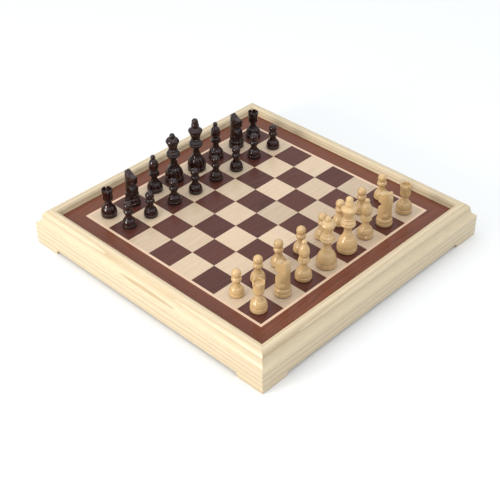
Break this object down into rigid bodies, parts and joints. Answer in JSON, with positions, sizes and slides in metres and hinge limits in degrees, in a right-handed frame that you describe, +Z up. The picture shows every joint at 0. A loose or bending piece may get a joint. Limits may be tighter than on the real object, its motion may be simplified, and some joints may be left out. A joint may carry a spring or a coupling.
{
  "type": "chess set with board",
  "caption": "Wooden chess set standing in its opening position on a square board with a moulded, mitred frame on bracket feet.",
  "frame": {"origin": "on the table surface under the middle of the board, between its four feet", "axes": "+Z up; the light men stand along -Y and face +Y; the a-file is at -X"},
  "size_m": [0.383, 0.383, 0.1125],
  "materials": {
    "frame_pine": "satin lacquered pine",
    "inner_pine": "bare pine",
    "core_board": "bare fibreboard",
    "border_walnut": "satin lacquered walnut veneer",
    "walnut": "satin lacquered walnut veneer",
    "maple": "satin lacquered maple veneer",
    "stringing": "satin lacquered light wood",
    "boxwood": "satin lacquered light wood",
    "ebonised": "gloss lacquered dark red-brown wood"
  },
  "bodies": {
    "board": {"panel_core": "core_board", "dark_squares": "walnut", "light_squares": "maple", "stringing_front": "stringing", "border_front": "border_walnut", "rail_front": "frame_pine", "cleat_front": "inner_pine", "corner_block_front": "inner_pine", "stringing_right": "stringing", "border_right": "border_walnut", "rail_right": "frame_pine", "cleat_right": "inner_pine", "corner_block_right": "inner_pine", "stringing_back": "stringing", "border_back": "border_walnut", "rail_back": "frame_pine", "cleat_back": "inner_pine", "corner_block_back": "inner_pine", "stringing_left": "stringing", "border_left": "border_walnut", "rail_left": "frame_pine", "cleat_left": "inner_pine", "corner_block_left": "inner_pine"},
    "white_rook_a": {"white_rook_a": "boxwood"},
    "white_knight_b": {"white_knight_b_base": "boxwood", "white_knight_b_head": "boxwood"},
    "white_bishop_c": {"white_bishop_c": "boxwood"},
    "white_queen": {"white_queen": "boxwood"},
    "white_king": {"white_king": "boxwood"},
    "white_bishop_f": {"white_bishop_f": "boxwood"},
    "white_knight_g": {"white_knight_g_base": "boxwood", "white_knight_g_head": "boxwood"},
    "white_rook_h": {"white_rook_h": "boxwood"},
    "white_pawn_a": {"white_pawn_a": "boxwood"},
    "white_pawn_b": {"white_pawn_b": "boxwood"},
    "white_pawn_c": {"white_pawn_c": "boxwood"},
    "white_pawn_d": {"white_pawn_d": "boxwood"},
    "white_pawn_e": {"white_pawn_e": "boxwood"},
    "white_pawn_f": {"white_pawn_f": "boxwood"},
    "white_pawn_g": {"white_pawn_g": "boxwood"},
    "white_pawn_h": {"white_pawn_h": "boxwood"},
    "black_rook_a": {"black_rook_a": "ebonised"},
    "black_knight_b": {"black_knight_b_base": "ebonised", "black_knight_b_head": "ebonised"},
    "black_bishop_c": {"black_bishop_c": "ebonised"},
    "black_queen": {"black_queen": "ebonised"},
    "black_king": {"black_king": "ebonised"},
    "black_bishop_f": {"black_bishop_f": "ebonised"},
    "black_knight_g": {"black_knight_g_base": "ebonised", "black_knight_g_head": "ebonised"},
    "black_rook_h": {"black_rook_h": "ebonised"},
    "black_pawn_a": {"black_pawn_a": "ebonised"},
    "black_pawn_b": {"black_pawn_b": "ebonised"},
    "black_pawn_c": {"black_pawn_c": "ebonised"},
    "black_pawn_d": {"black_pawn_d": "ebonised"},
    "black_pawn_e": {"black_pawn_e": "ebonised"},
    "black_pawn_f": {"black_pawn_f": "ebonised"},
    "black_pawn_g": {"black_pawn_g": "ebonised"},
    "black_pawn_h": {"black_pawn_h": "ebonised"}
  },
  "joints": [
    {"name": "white_rook_a_lift", "type": "slide", "parent": "board", "child": "white_rook_a", "axis": [0, 0, 1], "range_m": [0, 0.08]},
    {"name": "white_knight_b_lift", "type": "slide", "parent": "board", "child": "white_knight_b", "axis": [0, 0, 1], "range_m": [0, 0.08]},
    {"name": "white_bishop_c_lift", "type": "slide", "parent": "board", "child": "white_bishop_c", "axis": [0, 0, 1], "range_m": [0, 0.08]},
    {"name": "white_queen_lift", "type": "slide", "parent": "board", "child": "white_queen", "axis": [0, 0, 1], "range_m": [0, 0.08]},
    {"name": "white_king_lift", "type": "slide", "parent": "board", "child": "white_king", "axis": [0, 0, 1], "range_m": [0, 0.08]},
    {"name": "white_bishop_f_lift", "type": "slide", "parent": "board", "child": "white_bishop_f", "axis": [0, 0, 1], "range_m": [0, 0.08]},
    {"name": "white_knight_g_lift", "type": "slide", "parent": "board", "child": "white_knight_g", "axis": [0, 0, 1], "range_m": [0, 0.08]},
    {"name": "white_rook_h_lift", "type": "slide", "parent": "board", "child": "white_rook_h", "axis": [0, 0, 1], "range_m": [0, 0.08]},
    {"name": "white_pawn_a_lift", "type": "slide", "parent": "board", "child": "white_pawn_a", "axis": [0, 0, 1], "range_m": [0, 0.08]},
    {"name": "white_pawn_b_lift", "type": "slide", "parent": "board", "child": "white_pawn_b", "axis": [0, 0, 1], "range_m": [0, 0.08]},
    {"name": "white_pawn_c_lift", "type": "slide", "parent": "board", "child": "white_pawn_c", "axis": [0, 0, 1], "range_m": [0, 0.08]},
    {"name": "white_pawn_d_lift", "type": "slide", "parent": "board", "child": "white_pawn_d", "axis": [0, 0, 1], "range_m": [0, 0.08]},
    {"name": "white_pawn_e_lift", "type": "slide", "parent": "board", "child": "white_pawn_e", "axis": [0, 0, 1], "range_m": [0, 0.08]},
    {"name": "white_pawn_f_lift", "type": "slide", "parent": "board", "child": "white_pawn_f", "axis": [0, 0, 1], "range_m": [0, 0.08]},
    {"name": "white_pawn_g_lift", "type": "slide", "parent": "board", "child": "white_pawn_g", "axis": [0, 0, 1], "range_m": [0, 0.08]},
    {"name": "white_pawn_h_lift", "type": "slide", "parent": "board", "child": "white_pawn_h", "axis": [0, 0, 1], "range_m": [0, 0.08]},
    {"name": "black_rook_a_lift", "type": "slide", "parent": "board", "child": "black_rook_a", "axis": [0, 0, 1], "range_m": [0, 0.08]},
    {"name": "black_knight_b_lift", "type": "slide", "parent": "board", "child": "black_knight_b", "axis": [0, 0, 1], "range_m": [0, 0.08]},
    {"name": "black_bishop_c_lift", "type": "slide", "parent": "board", "child": "black_bishop_c", "axis": [0, 0, 1], "range_m": [0, 0.08]},
    {"name": "black_queen_lift", "type": "slide", "parent": "board", "child": "black_queen", "axis": [0, 0, 1], "range_m": [0, 0.08]},
    {"name": "black_king_lift", "type": "slide", "parent": "board", "child": "black_king", "axis": [0, 0, 1], "range_m": [0, 0.08]},
    {"name": "black_bishop_f_lift", "type": "slide", "parent": "board", "child": "black_bishop_f", "axis": [0, 0, 1], "range_m": [0, 0.08]},
    {"name": "black_knight_g_lift", "type": "slide", "parent": "board", "child": "black_knight_g", "axis": [0, 0, 1], "range_m": [0, 0.08]},
    {"name": "black_rook_h_lift", "type": "slide", "parent": "board", "child": "black_rook_h", "axis": [0, 0, 1], "range_m": [0, 0.08]},
    {"name": "black_pawn_a_lift", "type": "slide", "parent": "board", "child": "black_pawn_a", "axis": [0, 0, 1], "range_m": [0, 0.08]},
    {"name": "black_pawn_b_lift", "type": "slide", "parent": "board", "child": "black_pawn_b", "axis": [0, 0, 1], "range_m": [0, 0.08]},
    {"name": "black_pawn_c_lift", "type": "slide", "parent": "board", "child": "black_pawn_c", "axis": [0, 0, 1], "range_m": [0, 0.08]},
    {"name": "black_pawn_d_lift", "type": "slide", "parent": "board", "child": "black_pawn_d", "axis": [0, 0, 1], "range_m": [0, 0.08]},
    {"name": "black_pawn_e_lift", "type": "slide", "parent": "board", "child": "black_pawn_e", "axis": [0, 0, 1], "range_m": [0, 0.08]},
    {"name": "black_pawn_f_lift", "type": "slide", "parent": "board", "child": "black_pawn_f", "axis": [0, 0, 1], "range_m": [0, 0.08]},
    {"name": "black_pawn_g_lift", "type": "slide", "parent": "board", "child": "black_pawn_g", "axis": [0, 0, 1], "range_m": [0, 0.08]},
    {"name": "black_pawn_h_lift", "type": "slide", "parent": "board", "child": "black_pawn_h", "axis": [0, 0, 1], "range_m": [0, 0.08]}
  ]
}
